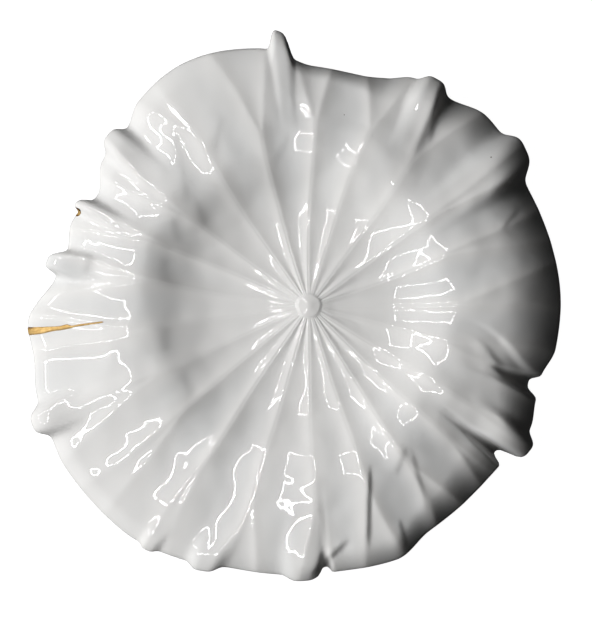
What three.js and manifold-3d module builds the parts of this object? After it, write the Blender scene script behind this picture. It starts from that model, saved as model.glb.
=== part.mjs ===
// A porcelain dish modelled as a lotus leaf: a knob, forking veins, a hollow, a crest and a ruffled lip
// that curls down. A split and a chip in the lip are filled with gold lacquer.
// Millimetres and degrees, +Z up. The foot ring stands on z = 0, and the dish's box is centred on the origin.
import * as THREE from 'three';
import { mergeVertices } from 'three/addons/utils/BufferGeometryUtils.js';
import Module from 'manifold-3d';

const wasm = await Module();
wasm.setup();

// The leaf
const LEAF_RADIUS = 151; // knob to lip; the shares in the tables below are of this radius
const CREST_SHARE = 0.62; // where the leaf is highest, between the hollow and the falling lip
const CREST_SHIFT = 0.07; // the crest lies nearer the knob on the right and farther on the left
const CREST_WAVE = 0.025; // and wanders in and out by this much
const FLANK_SHARE = 0.4; // where the hollow's flank starts, as a share of the crest's radius
const FLANK_SKEW = 1.4; // above 1, the flank is steepest near the crest
const WALL = 4.2; // porcelain, measured square to its face
const LIP_ROUNDING = 1.2; // how far the lip's round edge stands past the end of the wall
const BASIN_DEPTH = 4; // gentle rise of the hollow's floor
const HUB_RISE = 4.5; // the floor also rises again towards the knob
const HUB_RADIUS = 50; // from this far out
const HUB_POWER = 1.8; // how the rise steepens towards the knob
const FLANK_DEPTH = 11; // height of the hollow's flank; the table below gives shares of it
const SHOULDER = 0.3; // how softly the leaf turns over its crest, as a share of the way to the lip
const CURL_POWER = 2.2; // how the lip's curl steepens
const UNDER_CURL_EXTRA = 6; // the lip's curl is this much wider underneath, so the bend is thick

// The foot ring and the knob
const FOOT_DIAMETER = 80;
const FOOT_WIDTH = 6;
const FOOT_DRAFT = 1; // the ring widens by this much, each side, from its face up to the dish
const FOOT_HEIGHT = 15; // table to the underside of the hollow, before its floor's rises
const KNOB_DIAMETER = 11.2;
const KNOB_HEIGHT = 0.6;
const KNOB_SLOPE = 1.6; // width of the bevel round the knob

// The veins
const PANEL_SAG = 0.055; // depth of the panel between two veins, as a share of its width
const OUTER_SAG = 0.4; // how much deeper the panels sag at the lip
const KNOB_PLEAT = 0.13; // depth of the pleats round the knob, as a share of a panel's width
const PLEAT_RADIUS = 42; // where the pleats have faded out
const RIB_WIDTH = 1.1; // width of a vein before it forks
const VEIN_CREST = 0.7; // how sharp a vein is: the half width of its rounded top

// The gold fills
const SEAM_ANGLE = 184.9;
const SEAM_LENGTH = 42;
const SEAM_LIP_WIDTH = 4.4;
const SEAM_WAIST_WIDTH = 1.5;
const SEAM_WAIST_SHARE = 0.57; // how far the waist is from the lip, as a share of the length
const SEAM_TIP_WIDTH = 0.9;
const CHIP_ANGLE = 158;
const CHIP_DIAMETER = 4.6;
const CHIP_DEPTH = 1.5; // how far the chip bites into the lip
const GOLD_GAP = 0.3; // clearance between a fill and the porcelain round it

// How finely the faces are cut
const COLUMN_STEP = 2.5;
const INNER_STEPS = 66;

// The leaf all round: angle, reach, height of the flank, fall from the crest, drop and width of the curl.
// Reaches and widths are shares of the leaf's radius, the flank of its depth, and falls and drops of the
// crest's height.
const SWEEP = [
  [3, 0.938, 0.70, 0.28, 0.56, 0.220], [14, 0.932, 0.70, 0.28, 0.55, 0.220],
  [28, 0.926, 0.75, 0.30, 0.50, 0.190], [47, 0.966, 0.80, 0.38, 0.26, 0.150],
  [56, 0.931, 0.87, 0.36, 0.20, 0.120], [65, 0.930, 0.93, 0.33, 0.18, 0.100],
  [71, 0.893, 0.93, 0.31, 0.20, 0.090], [77, 0.876, 0.93, 0.29, 0.18, 0.060],
  [89, 0.889, 0.90, 0.27, 0.15, 0.050], [101, 0.970, 0.93, 0.20, 0.10, 0.080],
  [118, 1.010, 1.13, 0.20, 0.08, 0.080], [130, 0.985, 1.13, 0.24, 0.10, 0.080],
  [136, 0.941, 1.13, 0.28, 0.10, 0.080], [145, 0.934, 1.13, 0.22, 0.08, 0.075],
  [152, 0.883, 1.13, 0.20, 0.07, 0.070], [161, 0.930, 1.10, 0.19, 0.04, 0.070],
  [167, 0.915, 1.02, 0.20, 0.04, 0.070], [174, 0.945, 0.95, 0.23, 0.05, 0.070],
  [184, 1.043, 0.87, 0.26, 0.05, 0.070], [190, 1.035, 0.86, 0.26, 0.05, 0.070],
  [198, 1.060, 0.78, 0.26, 0.05, 0.070], [208, 1.072, 0.70, 0.26, 0.09, 0.070],
  [213, 1.083, 0.62, 0.26, 0.11, 0.070], [230, 1.083, 0.38, 0.26, 0.15, 0.070],
  [243, 1.052, 0.32, 0.24, 0.14, 0.080], [254, 1.012, 0.38, 0.24, 0.13, 0.090],
  [264, 1.001, 0.50, 0.26, 0.14, 0.090], [277, 0.990, 0.70, 0.30, 0.18, 0.090],
  [289, 0.996, 0.80, 0.32, 0.24, 0.090], [298, 0.948, 0.84, 0.34, 0.27, 0.100],
  [303, 0.939, 0.87, 0.36, 0.31, 0.110], [318, 0.924, 0.87, 0.38, 0.36, 0.150],
  [331, 0.940, 0.80, 0.34, 0.42, 0.150], [337, 0.915, 0.77, 0.32, 0.42, 0.170],
  [343, 0.903, 0.75, 0.30, 0.46, 0.190], [350, 0.932, 0.72, 0.28, 0.55, 0.210],
];

// Ears and notches of the lip: angle, extra reach, half width in degrees, rise, length, lean of its root.
// Reaches and lengths are shares of the leaf's radius, rises are shares of the crest's height.
const FOLDS = [
  [36.0, 0.052, 4.6, 0.20, 0.43, 0], [60.5, 0.034, 3.1, 0.18, 0.30, -2], [96.3, 0.084, 2.1, 0.05, 0.20, -2],
  [139.6, 0.038, 2.9, 0.13, 0.23, 1], [155.9, 0.037, 1.5, 0.12, 0.20, 1],
  [170.1, 0.059, 2.3, 0.15, 0.20, 0], [203.2, 0.047, 2.7, 0.13, 0.20, 0],
  [236.3, 0.015, 1.6, 0.05, 0.13, 0], [248, 0.026, 2.8, 0.10, 0.20, 1], [268.7, 0.023, 3.4, 0.15, 0.27, 0],
  [273.6, -0.022, 1.1, -0.12, 0.13, 0], [322.2, -0.048, 1.5, -0.12, 0.20, 0],
  [326.6, 0.044, 3.0, 0.18, 0.27, 1], [340.6, -0.040, 2.0, -0.10, 0.40, 13],
];

// The veins: angle at the knob, angle and distance of the fork, and angles of its two branches at the lip.
const VEINS = [
  [0, 1, 0.57, 0, 10], [16.5, 20, 0.55, 15.5, 23], [35, 36.5, 0.59, 31, 36.5],
  [54, 54, 0.67, 48.5, 60], [75, 71, 0.70, 65.5, 76], [92, 89.5, 0.69, 84, 97],
  [110.5, 107, 0.67, 101, 109], [126, 125, 0.77, 121, 128], [143.5, 144, 0.57, 140.5, 148],
  [156.5, 157, 0.61, 156, 162.5], [174, 171.5, 0.59, 167, 177], [188, 188, 0.62, 182, 190],
  [203.5, 204.5, 0.62, 203, 212], [218.5, 220, 0.63, 219, 226], [235.5, 236, 0.73, 235, 240],
  [253.5, 254, 0.77, 251, 258.5], [270.5, 271.5, 0.76, 268.5, 276], [286, 288, 0.72, 282, 291],
  [300.5, 302.5, 0.71, 300, 307.5], [315, 316.5, 0.75, 314.5, 318.5], [328, 329, 0.75, 326, 331],
  [346, 346, 0.53, 337, 350],
];
const FORK_SPREAD = 0.8; // below 1, a fork opens quickly and then runs nearly straight
const EAR_ROUNDNESS = 4; // 2 is a bell curve, and more gives an ear a flatter top
const EAR_SPREAD = 1.3; // an ear's rise is this much wider than its reach
const EAR_FILL = 0.6; // share of an ear's rise that shows underneath

const CREST_RADIUS = CREST_SHARE * LEAF_RADIUS;
const FLOOR_HEIGHT = FOOT_HEIGHT + WALL;

// Small helpers for angles and smooth steps
const radians = THREE.MathUtils.degToRad;
const turned = (angle) => THREE.MathUtils.euclideanModulo(angle + 180, 360) - 180;
const smooth = (t) => THREE.MathUtils.smoothstep(t, 0, 1);
const smoother = (t) => THREE.MathUtils.smootherstep(t, 0, 1);
const bell = (offset, halfWidth) => Math.exp(-(Math.abs(offset / halfWidth) ** EAR_ROUNDNESS));

// A smooth closed curve through one column of the sweep table, without overshoot between its knots
function closedCurve(column) {
  const count = SWEEP.length;
  const angles = SWEEP.map((row) => row[0]);
  const values = SWEEP.map((row) => row[column]);
  const spans = angles.map((angle, i) => (angles[(i + 1) % count] - angle + 360) % 360);
  const grades = values.map((value, i) => (values[(i + 1) % count] - value) / spans[i]);
  const tangents = grades.map((after, i) => {
    const before = grades[(i + count - 1) % count];
    return before * after <= 0 ? 0 : (2 * before * after) / (before + after);
  });
  return (angle) => {
    const along = THREE.MathUtils.euclideanModulo(angle - angles[0], 360);
    let i = count - 1;
    while (i > 0 && angles[i] - angles[0] > along) i -= 1;
    const j = (i + 1) % count;
    const t = (along - (angles[i] - angles[0])) / spans[i];
    const rise = t * t * (3 - 2 * t);
    const leave = t * (1 - t) ** 2 * spans[i] * tangents[i];
    const arrive = t * t * (t - 1) * spans[i] * tangents[j];
    return values[i] + (values[j] - values[i]) * rise + leave + arrive;
  };
}

const sweepReach = closedCurve(1);
const sweepFlank = closedCurve(2);
const sweepFall = closedCurve(3);
const sweepCurl = closedCurve(4);
const sweepCurlWidth = closedCurve(5);

// Distance from the knob to the lip
function reach(angle) {
  const folded = FOLDS.reduce((sum, [at, extra, width]) => sum + extra * bell(turned(angle - at), width), 0);
  return (sweepReach(angle) + folded) * LEAF_RADIUS;
}

// The crest's distance from the knob, and its height
function crestRadius(angle) {
  const turn = radians(angle);
  const wave = CREST_WAVE * Math.sin(3 * turn) * Math.cos(2 * turn + 1);
  return CREST_RADIUS * (1 - CREST_SHIFT * Math.cos(turn) + wave);
}

const flankHeight = (angle) => FLANK_DEPTH * sweepFlank(angle);
const crestHeight = (angle) => FLOOR_HEIGHT + BASIN_DEPTH + flankHeight(angle);

// Height of the leaf's broad form, without veins. Ears are lower underneath, where they are filled.
function formHeight(angle, distance, earShare = 1, curlExtra = 0) {
  const crestAt = crestRadius(angle);
  const inside = Math.min(distance / crestAt, 1);
  const basin = BASIN_DEPTH * (1 - (1 - inside ** 2) ** 2);
  const hub = HUB_RISE * Math.max(1 - distance / HUB_RADIUS, 0) ** HUB_POWER;
  const climb = Math.max((inside - FLANK_SHARE) / (1 - FLANK_SHARE), 0) ** FLANK_SKEW;
  const flank = flankHeight(angle) * smoother(climb);
  const crest = crestHeight(angle);
  const lip = reach(angle);
  const outside = Math.max((distance - crestAt) / (lip - crestAt), 0);
  const ramp = (Math.hypot(outside, SHOULDER) - SHOULDER) / (Math.hypot(1, SHOULDER) - SHOULDER);
  const curlWidth = sweepCurlWidth(angle) * LEAF_RADIUS + curlExtra;
  const curl = Math.max(1 - (lip - distance) / curlWidth, 0) ** CURL_POWER;
  const fallen = crest * (sweepFall(angle) * ramp + sweepCurl(angle) * curl);
  let height = FLOOR_HEIGHT + basin + hub + flank - fallen;
  for (const [at, , halfWidth, rise, share, lean] of FOLDS) {
    const length = share * LEAF_RADIUS;
    const along = smooth(1 - (lip - distance) / length);
    const offset = turned(angle - at - lean * (1 - along));
    const amount = rise > 0 ? rise * earShare : rise;
    height += crest * amount * along * bell(offset, halfWidth * EAR_SPREAD);
  }
  return height;
}

// The two edges of a vein are a rib's width apart up to the fork, and then run out to the lip as branches
function branchAngle([atKnob, atFork, share, left, right], side, distance, lip) {
  const fork = share * LEAF_RADIUS;
  const middle = atKnob + (atFork - atKnob) * Math.min(distance / fork, 1);
  const opened = Math.max((distance - fork) / (lip - fork), 0) ** FORK_SPREAD;
  const ribAngle = THREE.MathUtils.radToDeg(RIB_WIDTH / 2 / Math.max(distance, RIB_WIDTH));
  const rib = ribAngle * (1 - Math.min(opened, 1));
  return side < 0 ? middle + (left - atFork) * opened - rib : middle + (right - atFork) * opened + rib;
}

// Every branch line once round the leaf, in order, as a function of the distance from the knob
const branches = VEINS.flatMap((vein) => [-1, 1].map((side) => {
  const end = side < 0 ? vein[3] : vein[4];
  const lip = reach(end);
  return { end, at: (distance) => branchAngle(vein, side, distance, lip) };
}));

// How far the panel between the two nearest branch lines sags below them
function veinSag(angle, distance) {
  let before = 360;
  let after = 360;
  for (const branch of branches) {
    const offset = turned(branch.at(distance) - angle);
    if (offset <= 0) before = Math.min(before, -offset);
    if (offset >= 0) after = Math.min(after, offset);
  }
  const toLeft = radians(before) * distance;
  const toRight = radians(after) * distance;
  const width = toLeft + toRight;
  if (width < RIB_WIDTH) return 0;
  const crest = Math.min(VEIN_CREST, width / 8);
  const drop = (x) => Math.hypot(x, crest) - crest;
  const deeper = 1 + OUTER_SAG * smooth((distance - CREST_RADIUS) / (LEAF_RADIUS - CREST_RADIUS));
  const pleat = KNOB_PLEAT * width * Math.sin((Math.PI * toLeft) / width) ** 2;
  const nearKnob = 1 - smooth(distance / PLEAT_RADIUS);
  return (4 * PANEL_SAG * deeper * drop(toLeft) * drop(toRight)) / width + pleat * nearKnob;
}

// Columns run out from the knob between the branch lines. An ear or a notch has columns of its own,
// one down its middle and one down each side.
function leafColumns() {
  return branches.flatMap((branch, i) => {
    const next = branches[(i + 1) % branches.length];
    const gap = THREE.MathUtils.euclideanModulo(next.end - branch.end, 360);
    const marks = FOLDS.flatMap(([at, , halfWidth]) => [-0.65, 0, 0.65].map((side) => at + side * halfWidth))
      .map((at) => THREE.MathUtils.euclideanModulo(at - branch.end, 360))
      .filter((offset) => offset < gap - COLUMN_STEP / 3)
      .sort((a, b) => a - b);
    const stops = [0];
    for (const mark of marks) {
      if (mark - stops[stops.length - 1] > COLUMN_STEP / 3) stops.push(mark);
    }
    stops.push(gap);
    const shares = stops.slice(0, -1).flatMap((start, k) => {
      const parts = Math.max(1, Math.round((stops[k + 1] - start) / COLUMN_STEP));
      return Array.from({ length: parts }, (_, n) => (start + ((stops[k + 1] - start) * n) / parts) / gap);
    });
    return shares.map((share) => (distance) => {
      const from = branch.at(distance);
      return from + share * THREE.MathUtils.euclideanModulo(next.at(distance) - from, 360);
    });
  });
}

const evenColumns = (count) => Array.from({ length: count }, (_, i) => () => (360 * i) / count);

// The columns of the hollow: both edges of each rib and the middle of each panel
const ribColumns = branches.flatMap((branch, i) => {
  const next = branches[(i + 1) % branches.length];
  const edge = (distance) => branch.at(distance);
  const middle = (distance) => {
    const from = branch.at(distance);
    return from + THREE.MathUtils.euclideanModulo(next.at(distance) - from, 360) / 2;
  };
  return i % 2 === 1 ? [edge, middle] : [edge];
});

// A point of the upper face
function topPoint(angle, distance) {
  const sag = distance > KNOB_DIAMETER / 2 + KNOB_SLOPE ? veinSag(angle, distance) : 0;
  return { distance, height: formHeight(angle, distance) - sag };
}

// A point of the underside: the broad form moved square to itself by the wall
function underPoint(angle, distance) {
  const form = (d) => formHeight(angle, d, EAR_FILL, UNDER_CURL_EXTRA);
  const slope = form(distance + 0.5) - form(distance - 0.5);
  const length = Math.hypot(1, slope);
  const deepestSag = (PANEL_SAG * (1 + OUTER_SAG) * Math.PI * distance) / (2 * VEINS.length);
  const clear = Math.min(form(distance), formHeight(angle, distance) - deepestSag);
  return { distance: distance + (WALL * slope) / length, height: clear - WALL / length };
}

// The leaf is one closed skin: rings from the knob's middle over the lip to the underside's middle
function leafSolid() {
  const points = [];
  const faces = [];
  const all = leafColumns();
  const few = evenColumns(INNER_STEPS);

  const addPoint = (angle, distance, height) => {
    points.push(distance * Math.cos(radians(angle)), distance * Math.sin(radians(angle)), height);
    return points.length / 3 - 1;
  };
  const addRing = (columns, place) => columns
    .map((column) => {
      const { angle, distance, height } = place(column);
      return { angle: THREE.MathUtils.euclideanModulo(angle, 360), index: addPoint(angle, distance, height) };
    })
    .sort((a, b) => a.angle - b.angle);
  const stitch = (near, far) => {
    let i = 0;
    let j = 0;
    const ahead = (ring, k) => ring[(k + 1) % ring.length].angle + (k + 1 >= ring.length ? 360 : 0);
    while (i < near.length || j < far.length) {
      const a = near[i % near.length].index;
      const b = far[j % far.length].index;
      if (j >= far.length || (i < near.length && ahead(near, i) <= ahead(far, j))) {
        faces.push(a, b, near[(i + 1) % near.length].index);
        i += 1;
      } else {
        faces.push(a, b, far[(j + 1) % far.length].index);
        j += 1;
      }
    }
  };

  // Upper face
  const topRing = (columns, distanceAt) => addRing(columns, (column) => {
    const { angle, distance } = distanceAt(column);
    return { angle, ...topPoint(angle, distance) };
  });
  const inward = (share) => (column) => {
    const distance = share * crestRadius(column(share * CREST_RADIUS));
    return { angle: column(distance), distance };
  };
  const lipTop = (column) => {
    const start = column(LEAF_RADIUS);
    const end = reach(start);
    const slope = formHeight(start, end) - formHeight(start, end - 1);
    return { angle: start, distance: end - LIP_ROUNDING / Math.hypot(1, slope), slope };
  };
  const outward = (share) => (column) => {
    const angle = column(CREST_RADIUS + share * (LEAF_RADIUS - CREST_RADIUS));
    const end = lipTop(column).distance;
    const crest = crestRadius(angle);
    return { angle, distance: crest + share * (end - crest) };
  };
  const knobRing = (distance, lift) => addRing(few, (column) => {
    const angle = column(distance);
    return { angle, distance, height: formHeight(angle, distance) + lift };
  });
  const knobRadius = KNOB_DIAMETER / 2;
  const rings = [knobRing(knobRadius, KNOB_HEIGHT), knobRing(knobRadius + KNOB_SLOPE, 0)];
  for (const share of [0.15, 0.26, 0.38, 0.5]) rings.push(topRing(ribColumns, inward(share)));
  for (const share of [0.61, 0.71, 0.8, 0.9, 1]) rings.push(topRing(all, inward(share)));
  for (const share of [0.14, 0.31, 0.49, 0.65, 0.79, 0.9, 1]) rings.push(topRing(all, outward(share)));

  // Lip: its round edge stands out along the wall, halfway between the two faces
  rings.push(addRing(all, (column) => {
    const { angle, distance, slope } = lipTop(column);
    const above = topPoint(angle, distance);
    const below = underPoint(angle, distance);
    const length = Math.hypot(1, slope);
    return {
      angle,
      distance: (above.distance + below.distance) / 2 + LIP_ROUNDING / length,
      height: (above.height + below.height) / 2 + (LIP_ROUNDING * slope) / length,
    };
  }));

  // Underside
  const underRing = (columns, distanceAt) => addRing(columns, (column) => {
    const { angle, distance } = distanceAt(column);
    return { angle, ...underPoint(angle, distance) };
  });
  for (const share of [1, 0.9, 0.75, 0.5, 0.22]) rings.push(underRing(all, outward(share)));
  for (const share of [1, 0.88, 0.76, 0.62]) rings.push(underRing(few, inward(share)));

  // Foot ring and the recess inside it
  const footOuter = FOOT_DIAMETER / 2;
  const footInner = footOuter - FOOT_WIDTH;
  const plainRing = (distance, height) => addRing(few, (column) => {
    return { angle: column(distance), distance, height };
  });
  rings.push(plainRing(footOuter + FOOT_DRAFT, underPoint(0, footOuter).height));
  rings.push(plainRing(footOuter, 0));
  rings.push(plainRing(footInner, 0));
  rings.push(plainRing(footInner - FOOT_DRAFT, underPoint(0, footInner - FOOT_DRAFT).height));
  rings.push(plainRing(footInner / 2, underPoint(0, footInner / 2).height));

  for (let i = 1; i < rings.length; i += 1) stitch(rings[i - 1], rings[i]);
  const closeMiddle = (ring, height, flipped) => {
    const middle = addPoint(0, 0, height);
    ring.forEach(({ index }, i) => {
      const next = ring[(i + 1) % ring.length].index;
      faces.push(...(flipped ? [next, index, middle] : [index, next, middle]));
    });
  };
  closeMiddle(rings[0], formHeight(0, 0) + KNOB_HEIGHT, false);
  closeMiddle(rings[rings.length - 1], underPoint(0, 0).height, true);
  return new wasm.Manifold(new wasm.Mesh({
    numProp: 3,
    vertProperties: new Float32Array(points),
    triVerts: new Uint32Array(faces),
  }));
}

// Turns a closed three.js geometry into a solid, and a solid back into a geometry
function solidOf(geometry) {
  geometry.deleteAttribute('normal');
  geometry.deleteAttribute('uv');
  const merged = mergeVertices(geometry);
  return new wasm.Manifold(new wasm.Mesh({
    numProp: 3,
    vertProperties: new Float32Array(merged.attributes.position.array),
    triVerts: new Uint32Array(merged.index.array),
  }));
}

function geometryOf(solid) {
  const { vertProperties, triVerts } = solid.getMesh();
  const geometry = new THREE.BufferGeometry();
  geometry.setAttribute('position', new THREE.BufferAttribute(vertProperties, 3));
  geometry.setIndex(new THREE.BufferAttribute(triVerts, 1));
  geometry.computeVertexNormals();
  return geometry;
}

// An upright prism through the whole dish, with its outline in the plan
function prism(outline, angle) {
  const height = 2 * (crestHeight(0) + WALL);
  const shape = new THREE.Shape(outline);
  const geometry = new THREE.ExtrudeGeometry(shape, { depth: height, bevelEnabled: false });
  geometry.translate(0, 0, -height / 4);
  geometry.rotateZ(radians(angle));
  return solidOf(geometry);
}

// The split runs in from the lip, narrows to a waist and ends in a thin tip
function seamPrism(clearance) {
  const lip = reach(SEAM_ANGLE);
  const past = lip + WALL;
  const waist = lip - SEAM_LENGTH * SEAM_WAIST_SHARE;
  const tip = lip - SEAM_LENGTH;
  const flare = (SEAM_LIP_WIDTH - SEAM_WAIST_WIDTH) / 2 / (lip - waist);
  const halves = [
    [tip - clearance, SEAM_TIP_WIDTH / 2 + clearance],
    [waist, SEAM_WAIST_WIDTH / 2 + clearance],
    [past, SEAM_LIP_WIDTH / 2 + flare * (past - lip) + clearance],
  ];
  const outline = [
    ...halves.map(([x, y]) => new THREE.Vector2(x, -y)),
    ...halves.map(([x, y]) => new THREE.Vector2(x, y)).reverse(),
  ];
  return prism(outline, SEAM_ANGLE);
}

// The chip is a round bite out of the lip
function chipPrism(clearance) {
  const radius = CHIP_DIAMETER / 2;
  const centre = reach(CHIP_ANGLE) - CHIP_DEPTH + radius;
  const sides = 14;
  const outline = Array.from({ length: sides }, (_, i) => {
    const turn = (2 * Math.PI * i) / sides;
    return new THREE.Vector2(
      centre + (radius + clearance) * Math.cos(turn),
      (radius + clearance) * Math.sin(turn),
    );
  });
  return prism(outline, CHIP_ANGLE);
}

const leaf = leafSolid();
const bowlSolid = leaf.subtract(seamPrism(GOLD_GAP)).subtract(chipPrism(GOLD_GAP));
const seamSolid = leaf.intersect(seamPrism(0));
const chipSolid = leaf.intersect(chipPrism(0));

const porcelain = new THREE.MeshStandardMaterial({ color: 0xdcdcd8, roughness: 0.12, metalness: 0 });
const gold = new THREE.MeshStandardMaterial({ color: 0xc6963f, roughness: 0.35, metalness: 1 });

const pieces = [
  ['bowl', bowlSolid, porcelain],
  ['gold_seam', seamSolid, gold],
  ['gold_chip', chipSolid, gold],
];
const dish = new THREE.Group();
for (const [name, solid, material] of pieces) {
  const mesh = new THREE.Mesh(geometryOf(solid), material);
  mesh.name = name;
  dish.add(mesh);
}

// The knob is off the middle of the leaf's box, so the dish is moved until the box is centred
const middle = new THREE.Box3().setFromObject(dish).getCenter(new THREE.Vector3());
dish.position.set(-middle.x, -middle.y, 0);
const object = new THREE.Group();
object.add(dish);

export default object;
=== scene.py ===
# %% [markdown]
# # A porcelain leaf, mended with gold
# This lesson dresses a shallow dish in the form of a lotus leaf. The dish is one wall of white porcelain
# that was pressed over a mould: veins run out from a knob and fork, and the lip curls down in ears and
# notches. A split and a chip in the lip are filled with gold lacquer. The solid model gives every size
# and place, so the first step is to load it. What is made later may stand out of that box by a millimetre
# or two, and no more.

# %% Load the frame
import math

import bpy
import numpy as np
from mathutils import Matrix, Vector, noise


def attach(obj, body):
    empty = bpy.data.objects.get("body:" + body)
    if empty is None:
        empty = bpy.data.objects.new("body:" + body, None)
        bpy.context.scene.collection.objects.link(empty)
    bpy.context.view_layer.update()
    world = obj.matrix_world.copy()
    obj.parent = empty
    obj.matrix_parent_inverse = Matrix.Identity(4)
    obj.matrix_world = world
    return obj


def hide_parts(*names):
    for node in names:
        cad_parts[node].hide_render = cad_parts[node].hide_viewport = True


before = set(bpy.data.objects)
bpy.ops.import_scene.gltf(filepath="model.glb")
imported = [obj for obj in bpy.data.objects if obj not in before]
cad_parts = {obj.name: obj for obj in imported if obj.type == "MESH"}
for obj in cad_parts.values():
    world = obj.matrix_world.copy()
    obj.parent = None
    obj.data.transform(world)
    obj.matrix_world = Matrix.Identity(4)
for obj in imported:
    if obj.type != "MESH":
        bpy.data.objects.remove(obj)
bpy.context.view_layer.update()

# %% [markdown]
# ## The middle of the leaf
# The leaf grows from its knob, not from the middle of its box. The foot ring is turned round the knob, so
# the knob's place is found from the ring: its lowest points stand on the table, and their middle is the
# knob's. All sizes below are in millimetres from the knob, as a mould maker would measure them.

# %% Find the knob
MM = 0.001
TABLE = 1e-5
standing = [v.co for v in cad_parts["bowl"].data.vertices if v.co.z < TABLE]
knob_x = (min(c.x for c in standing) + max(c.x for c in standing)) / 2
knob_y = (min(c.y for c in standing) + max(c.y for c in standing)) / 2
foot_radius = (max(c.x for c in standing) - knob_x) / MM
print("knob at", round(knob_x / MM, 2), round(knob_y / MM, 2), "foot radius", round(foot_radius, 1))

# %% [markdown]
# ## The mould in numbers
# A free form like a leaf could be sculpted by hand, but then each ear would be hard to move later. Here
# the leaf is written as a few driving sizes, and three short tables that say what a maker would say of
# it: how far the lip reaches and falls at each angle, where it has ears and notches, and where each vein
# forks.

# %% The leaf's driving sizes
LEAF_RADIUS = 151
CREST_RADIUS = 0.62 * LEAF_RADIUS
FLANK_SHARE = 0.4
WALL = 4.2
FOOT_HEIGHT = 15
FLOOR_HEIGHT = FOOT_HEIGHT + WALL
CREST_SHIFT = 0.07
CREST_WAVE = 0.025
BASIN_DEPTH = 4
HUB_RISE = 4.5
HUB_RADIUS = 50
HUB_POWER = 1.8
FLANK_DEPTH = 11
FLANK_SKEW = 1.4
SHOULDER = 0.3
CURL_POWER = 2.2
UNDER_CURL_EXTRA = 6
KNOB_RADIUS = 5.6
KNOB_HEIGHT = 0.5
KNOB_SLOPE = 2.2
KNOB_WOBBLE = 0.07

# Angle, reach, height of the flank, fall from the crest, drop of the curl, width of the curl
LIP_TABLE = np.array([
    (3, 0.938, 0.70, 0.28, 0.54, 0.220), (14, 0.932, 0.70, 0.28, 0.55, 0.220),
    (28, 0.926, 0.75, 0.30, 0.50, 0.190), (47, 0.966, 0.80, 0.38, 0.26, 0.150),
    (56, 0.931, 0.87, 0.36, 0.20, 0.120), (65, 0.930, 0.93, 0.33, 0.18, 0.100),
    (71, 0.893, 0.93, 0.31, 0.20, 0.090), (77, 0.876, 0.93, 0.29, 0.18, 0.060),
    (89, 0.889, 0.90, 0.27, 0.13, 0.050), (101, 0.970, 0.93, 0.20, 0.06, 0.080),
    (118, 1.010, 1.13, 0.20, 0.08, 0.080), (130, 0.985, 1.13, 0.24, 0.10, 0.080),
    (136, 0.941, 1.13, 0.28, 0.10, 0.080), (145, 0.934, 1.13, 0.22, 0.08, 0.075),
    (152, 0.883, 1.13, 0.20, 0.07, 0.070), (161, 0.930, 1.10, 0.19, 0.04, 0.070),
    (167, 0.915, 1.02, 0.20, 0.04, 0.070), (174, 0.945, 0.95, 0.23, 0.05, 0.070),
    (184, 1.043, 0.87, 0.26, 0.05, 0.070), (190, 1.035, 0.86, 0.26, 0.05, 0.070),
    (198, 1.060, 0.78, 0.26, 0.05, 0.070), (208, 1.072, 0.70, 0.26, 0.09, 0.070),
    (213, 1.083, 0.62, 0.26, 0.11, 0.070), (230, 1.083, 0.38, 0.26, 0.15, 0.070),
    (243, 1.052, 0.32, 0.24, 0.14, 0.080), (254, 1.012, 0.38, 0.24, 0.13, 0.090),
    (264, 1.001, 0.50, 0.26, 0.14, 0.090), (277, 0.990, 0.70, 0.30, 0.18, 0.090),
    (289, 0.996, 0.80, 0.32, 0.24, 0.090), (298, 0.948, 0.84, 0.34, 0.27, 0.100),
    (303, 0.939, 0.87, 0.36, 0.31, 0.110), (318, 0.924, 0.87, 0.38, 0.36, 0.150),
    (331, 0.940, 0.80, 0.34, 0.42, 0.150), (337, 0.915, 0.77, 0.32, 0.42, 0.170),
    (343, 0.903, 0.75, 0.30, 0.46, 0.190), (350, 0.932, 0.72, 0.28, 0.53, 0.210),
])
# Angle, extra reach, half width in degrees, rise, length, lean of the root
FOLDS = [
    (36.0, 0.052, 4.6, 0.20, 0.43, 0), (60.5, 0.034, 3.1, 0.18, 0.30, -2),
    (96.3, 0.084, 2.1, 0.02, 0.20, -2), (139.6, 0.038, 2.9, 0.13, 0.23, 1),
    (155.9, 0.037, 1.5, 0.12, 0.20, 1), (170.1, 0.059, 2.3, 0.15, 0.20, 0),
    (203.2, 0.047, 2.7, 0.13, 0.20, 0), (236.3, 0.015, 1.6, 0.05, 0.13, 0),
    (248, 0.026, 2.8, 0.10, 0.20, 1), (268.7, 0.023, 3.4, 0.09, 0.27, 0),
    (273.6, -0.022, 1.1, -0.03, 0.08, 0), (322.2, -0.048, 1.5, -0.12, 0.20, 0),
    (326.6, 0.044, 3.0, 0.18, 0.27, 1), (340.6, -0.040, 2.0, -0.10, 0.40, 13),
]
# Angle at the knob, angle and distance of the fork, angles of the two branches at the lip
VEINS = [
    (0, 1, 0.57, 0, 10), (16.5, 20, 0.55, 15.5, 23), (35, 36.5, 0.59, 31, 36.5), (54, 54, 0.67, 48.5, 60),
    (75, 71, 0.70, 65.5, 76), (92, 88, 0.69, 84, 92.5), (110.5, 105, 0.67, 100, 112),
    (126, 124, 0.77, 124, 129.5), (143.5, 144, 0.57, 140.5, 148), (156.5, 157, 0.61, 156, 162.5),
    (174, 171.5, 0.59, 167, 177), (188, 188, 0.62, 182, 190), (203.5, 204.5, 0.62, 203, 212),
    (218.5, 220, 0.63, 219, 226), (235.5, 236, 0.73, 235, 240), (253.5, 254, 0.77, 251, 258.5),
    (270.5, 271.5, 0.76, 268.5, 276), (286, 288, 0.72, 282, 291), (300.5, 302.5, 0.71, 300, 307.5),
    (315, 316.5, 0.75, 314.5, 318.5), (328, 329, 0.75, 326, 331), (346, 346, 0.53, 337, 350),
]
FORK_SPREAD = 0.8
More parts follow.
